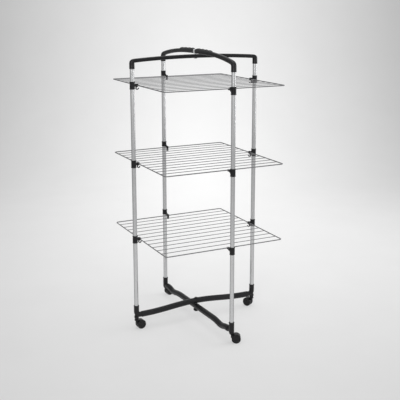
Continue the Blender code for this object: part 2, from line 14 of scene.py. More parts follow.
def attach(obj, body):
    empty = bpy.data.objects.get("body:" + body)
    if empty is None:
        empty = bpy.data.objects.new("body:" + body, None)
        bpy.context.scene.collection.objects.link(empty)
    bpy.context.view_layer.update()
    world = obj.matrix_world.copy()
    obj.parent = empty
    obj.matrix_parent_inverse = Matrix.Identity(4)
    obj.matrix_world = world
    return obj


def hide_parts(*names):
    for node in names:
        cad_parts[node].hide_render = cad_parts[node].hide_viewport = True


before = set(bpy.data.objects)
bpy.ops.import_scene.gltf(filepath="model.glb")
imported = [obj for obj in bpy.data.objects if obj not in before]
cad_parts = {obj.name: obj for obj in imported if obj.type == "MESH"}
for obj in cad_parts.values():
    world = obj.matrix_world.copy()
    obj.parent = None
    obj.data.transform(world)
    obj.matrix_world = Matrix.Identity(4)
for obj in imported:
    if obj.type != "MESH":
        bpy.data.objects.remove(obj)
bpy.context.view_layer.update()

# Sizes that the CAD part is built to
TIER_HEIGHTS = (0.460, 0.830, 1.200)
A_REACH = 0.326
B_REACH = 0.348
B_TURN = math.radians(2.5)
SHELF_HALF_X = 0.304
SHELF_HALF_Y = 0.315
SOCKET_HEIGHT = 1.276
SOCKET_RADIUS = 0.0128
SOCKET_BORE = 0.0103
SOCKET_DEPTH = 0.029
TUBE_RADIUS = 0.010
TUBE_BORE = 0.0088
TUBE_INSERT = 0.030
BAR_RADIUS = 0.0145
NECK_REACH = 0.026
SPIGOT_RADIUS = 0.0084
SPIGOT_LENGTH = 0.016
FOOT_BOTTOM = 0.0485
FOOT_TOPS = {"a": 0.1215, "b": 0.102}
BAR_ENDS = {"a": 0.072, "b": 0.060}
BAR_RISES = {"a": 0.0175, "b": 0.0}
BAR_DIPS = {"a": 0.0, "b": 0.009}
TRAIL = 0.022
AXLE_HEIGHT = 0.02173
WHEEL_OFFSET = 0.0101
WHEEL_WIDTH = 0.011
CASTER_ANGLES = {
    "left": math.radians(5),
    "right": math.radians(120),
    "front": math.radians(-27),
    "rear": math.radians(5),
}

# Each side: its frame's body, its frame's letter, where its post stands and the
# turn that points a local +X at the rack's middle
SIDES = {
    "left": ("frame_a", "a", Vector((-A_REACH, 0, 0)), 0.0),
    "right": ("frame_a", "a", Vector((A_REACH, 0, 0)), math.pi),
    "front": (
        "frame_b",
        "b",
        Vector((B_REACH * math.sin(B_TURN), -B_REACH * math.cos(B_TURN), 0)),
        math.pi / 2 + B_TURN,
    ),
    "rear": (
        "frame_b",
        "b",
        Vector((-B_REACH * math.sin(B_TURN), B_REACH * math.cos(B_TURN), 0)),
        -math.pi / 2 + B_TURN,
    ),
}


# Mesh building

MERGE_DISTANCE = 0.000005
EASE_SHARE = 0.45
CIRCLE = 2.0


def new_mesh(name, verts, faces):
    """A mesh with its faces turned outwards."""
    mesh = bpy.data.meshes.new(name)
    mesh.from_pydata([tuple(v) for v in verts], [], faces)
    work = bmesh.new()
    work.from_mesh(mesh)
    bmesh.ops.remove_doubles(work, verts=work.verts, dist=MERGE_DISTANCE)
    bmesh.ops.recalc_face_normals(work, faces=work.faces)
    work.to_mesh(mesh)
    work.free()
    return mesh


def evaluated(thing):
    """The mesh an object evaluates to, with the object removed."""
    bpy.context.scene.collection.objects.link(thing)
    depsgraph = bpy.context.evaluated_depsgraph_get()
    mesh = bpy.data.meshes.new_from_object(thing.evaluated_get(depsgraph))
    bpy.data.objects.remove(thing, do_unlink=True)
    return mesh


def turned(mesh, x=0.0, y=0.0, z=0.0, angle=0.0, axis="Z"):
    """The mesh turned about an axis through the origin, then shifted."""
    mesh.transform(Matrix.Translation((x, y, z)) @ Matrix.Rotation(angle, 4, axis))
    return mesh


def together(meshes):
    """One mesh that holds several."""
    work = bmesh.new()
    for mesh in meshes:
        work.from_mesh(mesh)
    result = bpy.data.meshes.new("together")
    work.to_mesh(result)
    work.free()
    return result


def loft(rings, cyclic=False):
    """A skin over rings of points, with its ends filled unless it is cyclic."""
    count = len(rings[0])
    verts = [point for ring in rings for point in ring]
    faces = []
    spans = len(rings) if cyclic else len(rings) - 1
    for i in range(spans):
        here = i * count
        there = (i + 1) % len(rings) * count
        for j in range(count):
            k = (j + 1) % count
            faces.append((here + j, here + k, there + k, there + j))
    if not cyclic:
        faces.append(tuple(range(count)))
        faces.append(tuple(range(len(verts) - count, len(verts))))
    return new_mesh("loft", verts, faces)


def lathe(profile, segments=40):
    """A closed profile of (radius, height) points turned about Z."""
    rings = []
    for radius, height in profile:
        ring = []
        for i in range(segments):
            angle = 2 * math.pi * i / segments
            ring.append((radius * math.cos(angle), radius * math.sin(angle), height))
        rings.append(ring)
    hollow = profile[0][0] > 0 and profile[-1][0] > 0
    if hollow:
        return loft(rings, cyclic=True)
    work = bmesh.new()
    work.from_mesh(loft(rings))
    bmesh.ops.dissolve_degenerate(work, edges=work.edges, dist=MERGE_DISTANCE)
    bmesh.ops.recalc_face_normals(work, faces=work.faces)
    mesh = bpy.data.meshes.new("lathe")
    work.to_mesh(mesh)
    work.free()
    return mesh


def eased(points, radius, steps=4):
    """A line of (radius, height) points with its inner corners rounded."""
    result = [points[0]]
    for before, corner, after in zip(points, points[1:], points[2:]):
        corner = Vector(corner)
        back = Vector(before) - corner
        ahead = Vector(after) - corner
        reach = min(radius, back.length * EASE_SHARE, ahead.length * EASE_SHARE)
        start = corner + back.normalized() * reach
        stop = corner + ahead.normalized() * reach
        for i in range(steps + 1):
            t = i / steps
            point = start * (1 - t) ** 2 + corner * 2 * t * (1 - t) + stop * t**2
            result.append(tuple(point))
    result.append(points[-1])
    return result


def raised(profile, level):
    """A profile of (radius, rise) points moved to a level."""
    return [(radius, level + rise) for radius, rise in profile]


def rounded_rod(radius, bottom, top, edge, segments=32):
    """A round rod on Z with eased ends."""
    corners = [(0, top), (radius, top), (radius, bottom), (0, bottom)]
    return lathe(eased(corners, edge), segments)


def sleeve(outer, inner, bottom, top, edge, segments=40):
    """A round sleeve on Z with eased lips."""
    corners = [
        (outer, (bottom + top) / 2),
        (outer, top),
        (inner, top),
        (inner, bottom),
        (outer, bottom),
        (outer, (bottom + top) / 2),
    ]
    return lathe(eased(corners, edge)[:-1], segments)


def block(x_span, y_span, z_span, edge):
    """A box with eased edges."""
    work = bmesh.new()
    bmesh.ops.create_cube(work, size=1.0)
    spans = (x_span, y_span, z_span)
    bmesh.ops.scale(work, verts=work.verts, vec=[high - low for low, high in spans])
    centre = [(high + low) / 2 for low, high in spans]
    bmesh.ops.translate(work, verts=work.verts, vec=centre)
    bmesh.ops.bevel(
        work,
        geom=work.edges,
        offset=edge,
        segments=2,
        profile=0.5,
        affect="EDGES",
    )
    mesh = bpy.data.meshes.new("block")
    work.to_mesh(mesh)
    work.free()
    return mesh


def boolean(mesh, tool, operation):
    """The mesh joined with, or cut by, another."""
    thing = bpy.data.objects.new("base", mesh)
    other = bpy.data.objects.new("tool", tool)
    bpy.context.scene.collection.objects.link(other)
    modifier = thing.modifiers.new("Boolean", "BOOLEAN")
    modifier.operation = operation
    modifier.solver = "EXACT"
    modifier.object = other
    result = evaluated(thing)
    bpy.data.objects.remove(other, do_unlink=True)
    return result


def moulded(meshes, voxel=0.0005, rounds=6, keep=0.35):
    """Overlapping closed meshes fused into one skin with small fillets."""
    thing = bpy.data.objects.new("moulded", together(meshes))
    remesh = thing.modifiers.new("Remesh", "REMESH")
    remesh.mode = "VOXEL"
    remesh.voxel_size = voxel
    smooth = thing.modifiers.new("Smooth", "SMOOTH")
    smooth.factor = 0.5
    smooth.iterations = rounds
    decimate = thing.modifiers.new("Decimate", "DECIMATE")
    decimate.ratio = keep
    return evaluated(thing)


def oval(half_side, half_depth, power, count=32):
    """Points around a superellipse, from its +side, counter-clockwise."""
    points = []
    for i in range(count):
        angle = 2 * math.pi * i / count
        c = math.cos(angle)
        s = math.sin(angle)
        side = math.copysign(abs(c) ** (2 / power), c) * half_side
        depth = math.copysign(abs(s) ** (2 / power), s) * half_depth
        points.append((side, depth))
    return points


def ring_at(x, z, normal, shape):
    """A section in the plane of Y and an XZ normal, around a point on the path."""
    return [(x + normal[0] * depth, side, z + normal[1] * depth) for side, depth in shape]


def smoothstep(t):
    """An eased share between 0 and 1."""
    t = min(1.0, max(0.0, t))
    return t * t * (3 - 2 * t)


def curve_between(start, start_way, stop, stop_way, pull, steps):
    """Points and directions along a smooth bend in the XZ plane."""
    a = Vector(start)
    b = a + Vector(start_way).normalized() * pull
    d = Vector(stop)
    c = d - Vector(stop_way).normalized() * pull
    line = []
    for i in range(steps + 1):
        t = i / steps
        s = 1 - t
        point = a * s**3 + b * 3 * t * s * s + c * 3 * t * t * s + d * t**3
        way = (b - a) * 3 * s * s + (c - b) * 6 * t * s + (d - c) * 3 * t * t
        line.append((point, way.normalized()))
    return line


# Materials

TUBE_SATIN = (0.66, 0.665, 0.67)
TUBE_LINES = (0.60, 0.605, 0.615)
TUBE_CLOUDS = (0.80, 0.805, 0.81)
TUBE_SCUFFS = (0.34, 0.34, 0.345)
# Painted shade for the tube's edges as they turn away from view
TUBE_EDGE_PAINTED_SHADE = (0.15, 0.15, 0.155)
WIRE_GREY = (0.18, 0.18, 0.186)
WIRE_THIN_COAT = (0.26, 0.26, 0.268)
WIRE_SPECKS = (0.08, 0.08, 0.083)
MOULDING_BLACK = (0.008, 0.008, 0.009)
MOULDING_PALE = (0.42, 0.425, 0.43)
RUBBER_BLACK = (0.012, 0.012, 0.013)
RUBBER_WORN = (0.030, 0.030, 0.032)
WHEEL_BLACK = (0.008, 0.008, 0.009)
WHEEL_DUST = (0.035, 0.034, 0.033)
WHEEL_RUBBED = (0.045, 0.044, 0.042)
ZINC_BRIGHT = (0.60, 0.60, 0.61)
ZINC_SPANGLE = (0.50, 0.50, 0.52)
ZINC_GRIME = (0.22, 0.21, 0.20)
RELIEF = 0.0002


class Shader:
    """A Principled material and short ways to feed it."""

    def __init__(self, name, colour, roughness, metallic=0.0, gloss=0.5):
        self.material = bpy.data.materials.new(name)
        self.material.use_nodes = True
        self.tree = self.material.node_tree
        self.shader = self.tree.nodes["Principled BSDF"]
        self.shader.inputs["Base Color"].default_value = (*colour, 1)
        self.shader.inputs["Roughness"].default_value = roughness
        self.shader.inputs["Metallic"].default_value = metallic
        self.shader.inputs["Specular IOR Level"].default_value = gloss
        self.place = self.tree.nodes.new("ShaderNodeTexCoord").outputs["Object"]
        self.normal = None

    def node(self, kind, **values):
        """A node with some of its inputs set."""
        made = self.tree.nodes.new(kind)
        for key, value in values.items():
            made.inputs[key.replace("_", " ")].default_value = value
        return made

    def noise(self, scale, stretch=(1, 1, 1), detail=4.0, rough=0.55):
        """Noise over the object, finer along the axes with more stretch."""
        mapping = self.tree.nodes.new("ShaderNodeMapping")
        mapping.inputs["Scale"].default_value = stretch
        self.tree.links.new(self.place, mapping.inputs["Vector"])
        noise = self.node("ShaderNodeTexNoise", Scale=scale, Detail=detail, Roughness=rough)
        self.tree.links.new(mapping.outputs["Vector"], noise.inputs["Vector"])
        return noise.outputs["Fac"]

    def spread(self, source, low, high, start=0.3, stop=0.7):
        """A value carried from one range to another."""
        spread = self.node("ShaderNodeMapRange")
        spread.inputs["From Min"].default_value = start
        spread.inputs["From Max"].default_value = stop
        spread.inputs["To Min"].default_value = low
        spread.inputs["To Max"].default_value = high
        self.tree.links.new(source, spread.inputs["Value"])
        return spread.outputs["Result"]

    def product(self, first, second):
        """Two values multiplied."""
        product = self.tree.nodes.new("ShaderNodeMath")
        product.operation = "MULTIPLY"
        self.tree.links.new(first, product.inputs[0])
        self.tree.links.new(second, product.inputs[1])
        return product.outputs["Value"]

    def edges(self, start=0.51, stop=0.60):
        """How far the surface stands out as an edge, from 0 to 1."""
        geometry = self.tree.nodes.new("ShaderNodeNewGeometry")
        return self.spread(geometry.outputs["Pointiness"], 0.0, 1.0, start, stop)

    def tint(self, colour, share):
        """Mix a colour into the base colour by a share."""
        mix = self.tree.nodes.new("ShaderNodeMix")
        mix.data_type = "RGBA"
        base = self.shader.inputs["Base Color"]
        if base.is_linked:
            self.tree.links.new(base.links[0].from_socket, mix.inputs["A"])
        else:
            mix.inputs["A"].default_value = base.default_value
        mix.inputs["B"].default_value = (*colour, 1)
        self.tree.links.new(share, mix.inputs["Factor"])
        self.tree.links.new(mix.outputs["Result"], base)

    def roughness(self, source):
        """Drive the roughness."""
        self.tree.links.new(source, self.shader.inputs["Roughness"])

    def bump(self, source, strength, distance):
        """Add relief to the surface."""
        bump = self.node("ShaderNodeBump", Strength=strength, Distance=distance)
        self.tree.links.new(source, bump.inputs["Height"])
        if self.normal is not None:
            self.tree.links.new(self.normal, bump.inputs["Normal"])
        self.normal = bump.outputs["Normal"]
        self.tree.links.new(self.normal, self.shader.inputs["Normal"])


def make_tube_metal():
    """Satin silver tube: fine lines along it, faint handling marks, and painted shade that
    darkens it towards its edges as they turn from view.
    """
    look = Shader("satin_tube", TUBE_SATIN, 0.30, metallic=0.8)
    lines = look.noise(700, (1, 1, 0.012), detail=3)
    cloud = look.noise(14, (1, 1, 0.6))
    scuffs = look.noise(160, (1, 1, 0.15), detail=6, rough=0.7)
    look.tint(TUBE_LINES, look.spread(lines, 0.0, 0.55))
    look.tint(TUBE_CLOUDS, look.spread(cloud, 0.0, 0.35, 0.4, 0.75))
    look.tint(TUBE_SCUFFS, look.spread(scuffs, 0.0, 0.35, 0.66, 0.78))
    # Painted shade: the tube is darkened where its surface turns away from view, standing in
    # for dark reflections at its left and right edges.
    facing = look.node("ShaderNodeLayerWeight", Blend=0.5)
    look.tint(TUBE_EDGE_PAINTED_SHADE, look.spread(facing.outputs["Facing"], 0.0, 0.95, 0.25, 0.65))
    look.roughness(look.spread(lines, 0.20, 0.34))
    look.bump(lines, 0.04, RELIEF)
    return look.material


def make_wire_coat():
    """Grey plastic coat on wire: lighter where it is thin, with darker specks."""
    look = Shader("coated_wire", WIRE_GREY, 0.42, metallic=0.25)
    flow = look.noise(60, (1, 1, 1))
    peel = look.noise(1400, detail=2)
    specks = look.noise(420, detail=5, rough=0.7)
    look.tint(WIRE_THIN_COAT, look.spread(flow, 0.0, 0.6))
    look.tint(WIRE_SPECKS, look.spread(specks, 0.0, 0.5, 0.64, 0.74))
    look.roughness(look.spread(flow, 0.34, 0.52))
    look.bump(peel, 0.15, RELIEF)
    return look.material


def make_moulded_plastic(name, colour, roughness):
    """Moulded plastic: fine grain, uneven gloss, edges rubbed lighter."""
    look = Shader(name, colour, roughness, gloss=0.3)
    grain = look.noise(1100, detail=3, rough=0.6)
    cloud = look.noise(22, detail=5)
    dust = look.noise(95, detail=7, rough=0.72)
    lighter = tuple(min(1.0, c * 1.5 + 0.003) for c in colour)
    rubbed = tuple(min(1.0, c * 2.0 + 0.018) for c in colour)
    look.tint(lighter, look.spread(cloud, 0.0, 0.5))
    look.tint(rubbed, look.spread(dust, 0.0, 0.22, 0.58, 0.75))
    look.tint(rubbed, look.product(look.edges(), look.spread(dust, 0.15, 0.8, 0.35, 0.65)))
    look.roughness(look.spread(cloud, roughness - 0.07, roughness + 0.09))
    look.bump(grain, 0.2, RELIEF)
    return look.material


def make_grip_rubber():
    """Soft matt rubber with a fine pebble."""
    look = Shader("grip_rubber", RUBBER_BLACK, 0.42, gloss=0.6)
    cells = look.node("ShaderNodeTexVoronoi", Scale=900.0)
    look.tree.links.new(look.place, cells.inputs["Vector"])
    wear = look.noise(70, detail=6, rough=0.7)
    look.tint(RUBBER_WORN, look.spread(wear, 0.0, 0.6, 0.4, 0.7))
    look.roughness(look.spread(wear, 0.34, 0.52))
    look.bump(cells.outputs["Distance"], 0.2, RELIEF)
    return look.material


def make_wheel_plastic():
    """Hard wheel plastic, with dust gathered on it."""
    look = Shader("wheel_plastic", WHEEL_BLACK, 0.45, gloss=0.3)
    dust = look.noise(180, detail=8, rough=0.75)
    fine = look.noise(1600, detail=2)
    look.tint(WHEEL_DUST, look.spread(dust, 0.0, 0.5, 0.5, 0.78))
    look.tint(WHEEL_RUBBED, look.product(look.edges(), look.spread(dust, 0.1, 0.7)))
    look.roughness(look.spread(dust, 0.38, 0.62))
    look.bump(fine, 0.15, RELIEF)
    return look.material


def make_zinc():
    """Bright zinc-plated steel with faint mottling."""
    look = Shader("zinc_steel", ZINC_BRIGHT, 0.3, metallic=1.0)
    spangle = look.node("ShaderNodeTexVoronoi", Scale=260.0)
    look.tree.links.new(look.place, spangle.inputs["Vector"])
    grime = look.noise(320, detail=6, rough=0.7)
    look.tint(ZINC_SPANGLE, look.spread(spangle.outputs["Distance"], 0.0, 0.5, 0.1, 0.7))
    look.tint(ZINC_GRIME, look.spread(grime, 0.0, 0.5, 0.6, 0.75))
    look.roughness(look.spread(grime, 0.24, 0.42))
    return look.material


TUBE = make_tube_metal()
WIRE = make_wire_coat()
BLACK = make_moulded_plastic("black_moulding", MOULDING_BLACK, 0.36)
BAND = make_moulded_plastic("pale_moulding", MOULDING_PALE, 0.42)
RUBBER = make_grip_rubber()
TYRE = make_wheel_plastic()
ZINC = make_zinc()


def place(name, mesh, material, body, nodes, matrix=None, sharp=40):
    """Show a finished mesh on its body, in place of its CAD nodes."""
    mesh.materials.clear()
    mesh.materials.append(material)
    mesh.shade_smooth()
    mesh.set_sharp_from_angle(angle=math.radians(sharp))
    piece = bpy.data.objects.new(name, mesh)
    bpy.context.scene.collection.objects.link(piece)
    piece.matrix_world = matrix if matrix is not None else Matrix.Identity(4)
    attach(piece, body)
    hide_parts(*nodes)
    return piece


def standing(spot, turn, height=0.0):
    """The matrix of a local frame at a spot, turned about Z."""
    shift = Matrix.Translation(spot + Vector((0, 0, height)))
    return shift @ Matrix.Rotation(turn, 4, "Z")


# Posts

POST_TOP = SOCKET_HEIGHT + 0.0285
POST_EDGE = 0.0004
POST_SEGMENTS = 56


def make_post(bottom, top):
    """A tube with its cut ends eased."""
    return sleeve(TUBE_RADIUS, TUBE_BORE, bottom, top, POST_EDGE, POST_SEGMENTS)


# Bows

BOWS = {
    "a": dict(
        reach=A_REACH,
        top=1.333,
        drop=0.012,
        power=2.0,
        depth=0.018,
        width=0.020,
        bend_start=0.0215,
        bend_fall=0.0125,
        pull=0.0125,
    ),
    "b": dict(
        reach=B_REACH,
        top=1.3565,
        drop=0.033,
        power=2.6,
        depth=0.020,
        width=0.020,
        bend_start=0.027,
        bend_fall=0.014,
        pull=0.0145,
    ),
}
BOW_SQUARENESS = 3.4
SEAM_DEPTH = 0.00025
SOCKET_LIP = 0.0008
SOCKET_EASE = 0.0005
CUFF_HEIGHT = 0.0035
CUFF_STEP = 0.0042
BEND_STEPS = 12
BLEND_STEPS = 9
ARCH_STEPS = 40
SLOPE_STEP = 0.001


def bow_height(bow, x):
    """Height of the upper side of a bow."""
    return bow["top"] - bow["drop"] * (abs(x) / bow["reach"]) ** bow["power"]


def seamed(shape):
    """A section with a fine parting line on each side."""
    count = len(shape)
    result = list(shape)
    for index in (0, count // 2):
        side, depth = result[index]
        result[index] = (side - math.copysign(SEAM_DEPTH, side), depth)
    return result


def bow_rings(bow, sign):
    """Rings from a socket's inside out to where its bend meets the arch."""
    reach = bow["reach"]
    down = (sign, 0.0)
    rings = []
    inside = SOCKET_HEIGHT + SOCKET_DEPTH
    neck = SOCKET_RADIUS - SOCKET_EASE
    bore = [
        (SOCKET_BORE, inside),
        (SOCKET_BORE, SOCKET_HEIGHT + SOCKET_LIP),
        (SOCKET_BORE + SOCKET_EASE, SOCKET_HEIGHT),
        (SOCKET_RADIUS - SOCKET_LIP, SOCKET_HEIGHT),
        (SOCKET_RADIUS, SOCKET_HEIGHT + SOCKET_LIP),
        (SOCKET_RADIUS, SOCKET_HEIGHT + CUFF_HEIGHT),
        (neck, SOCKET_HEIGHT + CUFF_STEP),
    ]
    for radius, height in bore:
        rings.append(ring_at(sign * reach, height, down, oval(radius, radius, CIRCLE)))
    arch_x = reach - bow["bend_start"]
    arch_z = bow_height(bow, arch_x) - bow["depth"] / 2
    slope = bow["drop"] * bow["power"] * arch_x ** (bow["power"] - 1)
    slope /= reach ** bow["power"]
    start = (sign * reach, bow_height(bow, reach) - bow["depth"] / 2 - bow["bend_fall"])
    stop = (sign * arch_x, arch_z)
    bend = curve_between(start, (0, 1), stop, (-sign, slope), bow["pull"], BEND_STEPS)
    for i, (point, way) in enumerate(bend):
        share = smoothstep(i / BLEND_STEPS)
        side = (1 - share) * neck + share * bow["width"] / 2
        depth = (1 - share) * neck + share * bow["depth"] / 2
        power = CIRCLE + share * (BOW_SQUARENESS - CIRCLE)
        normal = (sign * way.y, -sign * way.x)
        rings.append(ring_at(point.x, point.y, normal, seamed(oval(side, depth, power))))
    return rings


def make_bow(letter):
    """A whole bow, socket to socket, along X."""
    bow = BOWS[letter]
    left = bow_rings(bow, -1)
    right = bow_rings(bow, 1)
    half = bow["reach"] - bow["bend_start"]
    shape = seamed(oval(bow["width"] / 2, bow["depth"] / 2, BOW_SQUARENESS))
    middle = []
    for i in range(1, ARCH_STEPS):
        x = half * (2 * i / ARCH_STEPS - 1)
        near = bow_height(bow, x - SLOPE_STEP)
        far = bow_height(bow, x + SLOPE_STEP)
        way = Vector((2 * SLOPE_STEP, far - near)).normalized()
        z = bow_height(bow, x) - bow["depth"] / 2
        middle.append(ring_at(x, z, (-way.y, way.x), shape))
    return loft(left + middle + right[::-1])


GRIP_START = 0.0135
GRIP_STOP = 0.152
GRIP_WAVES = 4
GRIP_WAVE = 0.0024
GRIP_HALF_WIDTH = 0.0088
GRIP_BULGE = 0.0016
GRIP_INSET = 0.0006
GRIP_SKIN = 0.0022
GRIP_EDGE = 0.0004
GRIP_UNDER = 0.0005
GRIP_SAG = 0.0042
GRIP_RIDGE = 0.00035
RIDGES_PER_WAVE = 6
GRIP_STEPS = 88
GRIP_COLUMNS = 18
GRIP_END_RISE = 22


def make_grip(side):
    """A soft saddle over the upper half of bow B, with finger waves on top."""
    bow = BOWS["b"]
    inner = GRIP_HALF_WIDTH - GRIP_INSET
    rings = []
    for i in range(GRIP_STEPS + 1):
        t = i / GRIP_STEPS
        x = GRIP_START + (GRIP_STOP - GRIP_START) * t
        end = smoothstep(min(t, 1 - t) * GRIP_END_RISE)
        wave = 0.5 - 0.5 * math.cos(2 * math.pi * GRIP_WAVES * t)
        ripple = 0.5 + 0.5 * math.cos(2 * math.pi * GRIP_WAVES * RIDGES_PER_WAVE * t)
        crown = GRIP_EDGE + end * (GRIP_SKIN + GRIP_WAVE * wave + GRIP_RIDGE * ripple)
        base = bow_height(bow, x)
        ring = []
        for j in range(GRIP_COLUMNS + 1):
            across = 2 * j / GRIP_COLUMNS - 1
            lift = (1 - abs(across) ** 4) * crown
            sag = -GRIP_SAG * abs(across) ** 7
            wide = GRIP_HALF_WIDTH + GRIP_BULGE * end * (1 - abs(across) ** 2)
            ring.append((side * x, across * wide, base + lift + sag))
        for j in range(GRIP_COLUMNS + 1):
            across = 1 - 2 * j / GRIP_COLUMNS
            sag = -GRIP_SAG * abs(across) ** 7
            ring.append((side * x, across * inner, base - GRIP_UNDER + sag))
        rings.append(ring)
    return loft(rings)


BAND_HALF = 0.006
BAND_SHOULDER = 0.0052
BAND_EDGE = 0.0004
BAND_PROUD = 0.0014
BAND_GAP = 0.0001
BAND_SEGMENTS = 48


def make_band():
    """The pale sleeve around the middle of bow B."""
    bow = BOWS["b"]
    middle = bow["top"] - bow["depth"] / 2
    profile = [
        (-BAND_HALF, BAND_EDGE),
        (-BAND_SHOULDER, BAND_PROUD),
        (BAND_SHOULDER, BAND_PROUD),
        (BAND_HALF, BAND_EDGE),
    ]
    rings = []
    for x, proud in profile:
        side = bow["width"] / 2 + proud
        depth = bow["depth"] / 2 + proud
        shape = oval(side, depth, BOW_SQUARENESS, BAND_SEGMENTS)
        rings.append(ring_at(x, middle, (0, 1), shape))
    side = bow["width"] / 2 + BAND_GAP
    depth = bow["depth"] / 2 + BAND_GAP
    inner = oval(side, depth, BOW_SQUARENESS, BAND_SEGMENTS)
    rings.append(ring_at(BAND_HALF, middle, (0, 1), inner))
    rings.append(ring_at(-BAND_HALF, middle, (0, 1), inner))
    return loft(rings, cyclic=True)


# Base bars and feet

DIP_START = 0.5
DIP_SKEW = 1.6
BAR_STRAIGHT = 0.018
BAR_SEGMENTS = 72
BAR_STEPS = 64
SLOPE_SHARE = 0.01
FLUTE_DEPTH = 0.0007
FLUTES = 5
FLUTE_FADE = 0.8
BORE_GAP = 0.0003
BORE_LIP = 0.0006


def bar_height(letter, share):
    """Height of a base bar's middle line at a share of its curved half."""
    arched = BAR_RISES[letter] * math.cos(math.pi / 2 * share) ** 2
    outward = max(0.0, (abs(share) - DIP_START) / (1 - DIP_START))
    dipped = BAR_DIPS[letter] * math.sin(math.pi * outward**DIP_SKEW) ** 2
    return BAR_ENDS[letter] + arched - dipped


def fluted(radius, share):
    """A round section with shallow flutes along each flank."""
    points = []
    for i in range(BAR_SEGMENTS):
        angle = 2 * math.pi * i / BAR_SEGMENTS
        flank = abs(math.cos(angle)) ** FLUTE_FADE
        groove = max(0.0, math.cos(angle * 2 * FLUTES)) ** 3
        r = radius - share * FLUTE_DEPTH * groove * flank
        points.append((r * math.cos(angle), r * math.sin(angle)))
    return points


def make_bar(letter, reach):
    """A base bar along X, fluted, with a bore in each end."""
    tip = reach - NECK_REACH
    half = tip - BAR_STRAIGHT
    end = BAR_ENDS[letter]
    bore = SPIGOT_RADIUS + BORE_GAP
    rings = []

    # From deep in an end's bore, over its rim and back: inset, radius, flute share
    rim = [
        (SPIGOT_LENGTH, bore, 0),
        (BORE_LIP, bore, 0),
        (0.0, bore + BORE_LIP, 0),
        (0.0, BAR_RADIUS - 0.0016, 0),
        (0.0006, BAR_RADIUS - 0.0005, 0),
        (0.0018, BAR_RADIUS, 0),
        (0.007, BAR_RADIUS, 0),
        (0.010, BAR_RADIUS, 1),
    ]

    def add(x, z, radius, share, way=(1.0, 0.0)):
        rings.append(ring_at(x, z, (-way[1], way[0]), fluted(radius, share)))

    for inset, radius, share in rim:
        add(-tip + inset, end, radius, share)
    for i in range(BAR_STEPS + 1):
        share = 2 * i / BAR_STEPS - 1
        near = bar_height(letter, max(-1, share - SLOPE_SHARE))
        far = bar_height(letter, min(1, share + SLOPE_SHARE))
        way = Vector((2 * SLOPE_SHARE * half, far - near)).normalized()
        add(half * share, bar_height(letter, share), BAR_RADIUS, 1, way)
    for inset, radius, share in rim[::-1]:
        add(tip - inset, end, radius, share)
    return loft(rings)


def along_x(mesh):
    """The mesh with its Z axis turned to X."""
    return turned(mesh, angle=math.pi / 2, axis="Y")


STEM_CONE = [
    (0.0, 0.068),
    (0.0118, 0.068),
    (0.0112, 0.058),
    (0.0080, 0.0505),
    (0.0080, FOOT_BOTTOM),
    (0.0, FOOT_BOTTOM),
]


CONE_EASE = 0.0012
FOOT_SEGMENTS = 48
FOOT_EDGE = 0.001
FOOT_SEAT_LAP = 0.001
RIM_PROUD = 0.0007
RIM_HEIGHT = 0.0045
SPIGOT_GAP = 0.001
SPIGOT_EDGE = 0.0008
NECK_RADII = {"a": 0.0126, "b": 0.0112}
NECK_GAP = 0.0004
ELBOW_RISE = 0.004
ELBOW_PULL = 0.021
ELBOW_STEPS = 16
ELBOW_SEGMENTS = 40
CORE_LAP = 0.002
CORE_EDGE = 0.004
GUSSET_REACH = (0.004, 0.018)
GUSSET_HALF = 0.0022
GUSSET_HEIGHT = 0.017
GUSSET_EDGE = 0.0008


def make_foot(letter):
    """A foot: a socket for the post that bends or branches into the bar's end."""
    top = FOOT_TOPS[letter]
    branch = BAR_ENDS[letter]
    seat = top - TUBE_INSERT
    low = seat - FOOT_SEAT_LAP
    rim_low = top - RIM_HEIGHT
    rim_radius = SOCKET_RADIUS + RIM_PROUD
    spigot_end = NECK_REACH + SPIGOT_LENGTH - SPIGOT_GAP
    socket = sleeve(SOCKET_RADIUS, SOCKET_BORE, low, top, FOOT_EDGE, FOOT_SEGMENTS)
    rim = sleeve(rim_radius, SOCKET_BORE, rim_low, top, FOOT_EDGE, FOOT_SEGMENTS)
    spigot = rounded_rod(SPIGOT_RADIUS, 0.0, spigot_end, SPIGOT_EDGE)
    shapes = [socket, rim, turned(along_x(spigot), z=branch)]
    if letter == "a":
        start = (0, seat + ELBOW_RISE)
        stop = (NECK_REACH, branch)
        bend = curve_between(start, (0, -1), stop, (1, 0), ELBOW_PULL, ELBOW_STEPS)
        rings = []
        for i, (point, way) in enumerate(bend):
            share = smoothstep(i / ELBOW_STEPS)
            radius = (1 - share) * SOCKET_RADIUS + share * NECK_RADII["a"]
            normal = (-way.y, way.x)
            shape = oval(radius, radius, CIRCLE, ELBOW_SEGMENTS)
            rings.append(ring_at(point.x, point.y, normal, shape))
        shapes.append(loft(rings))
        shapes.append(lathe(eased(STEM_CONE, CONE_EASE)))
    else:
        core_top = seat + CORE_LAP
        core = rounded_rod(SOCKET_RADIUS, FOOT_BOTTOM, core_top, CORE_EDGE, FOOT_SEGMENTS)
        shapes.append(core)
        neck = rounded_rod(NECK_RADII["b"], 0.0, NECK_REACH - NECK_GAP, SPIGOT_EDGE)
        shapes.append(turned(along_x(neck), z=branch))
        rise = (branch, branch + GUSSET_HEIGHT)
        gusset = block(GUSSET_REACH, (-GUSSET_HALF, GUSSET_HALF), rise, GUSSET_EDGE)
        shapes.append(gusset)
    return moulded(shapes, voxel=0.0006, rounds=5, keep=0.3)


# Shelves

EDGE_RADIUS = 0.0025
ROD_RADIUS = 0.0016
ROD_LIFT = 0.0006
ROD_GAPS = 12
SHELF_CORNER = 0.012
CORNER_STEPS = 8
EDGE_SEGMENTS = 18
ROD_SEGMENTS = 14
WELD_RADIUS = 0.0023
WELD_TIP_RADIUS = WELD_RADIUS * 0.7
WELD_NECK_RADIUS = WELD_RADIUS * 0.92
WELD_TIP = 0.0012
WELD_NECK = 0.0026
WELD_LENGTH = 0.004
WELD_FADE = 0.001


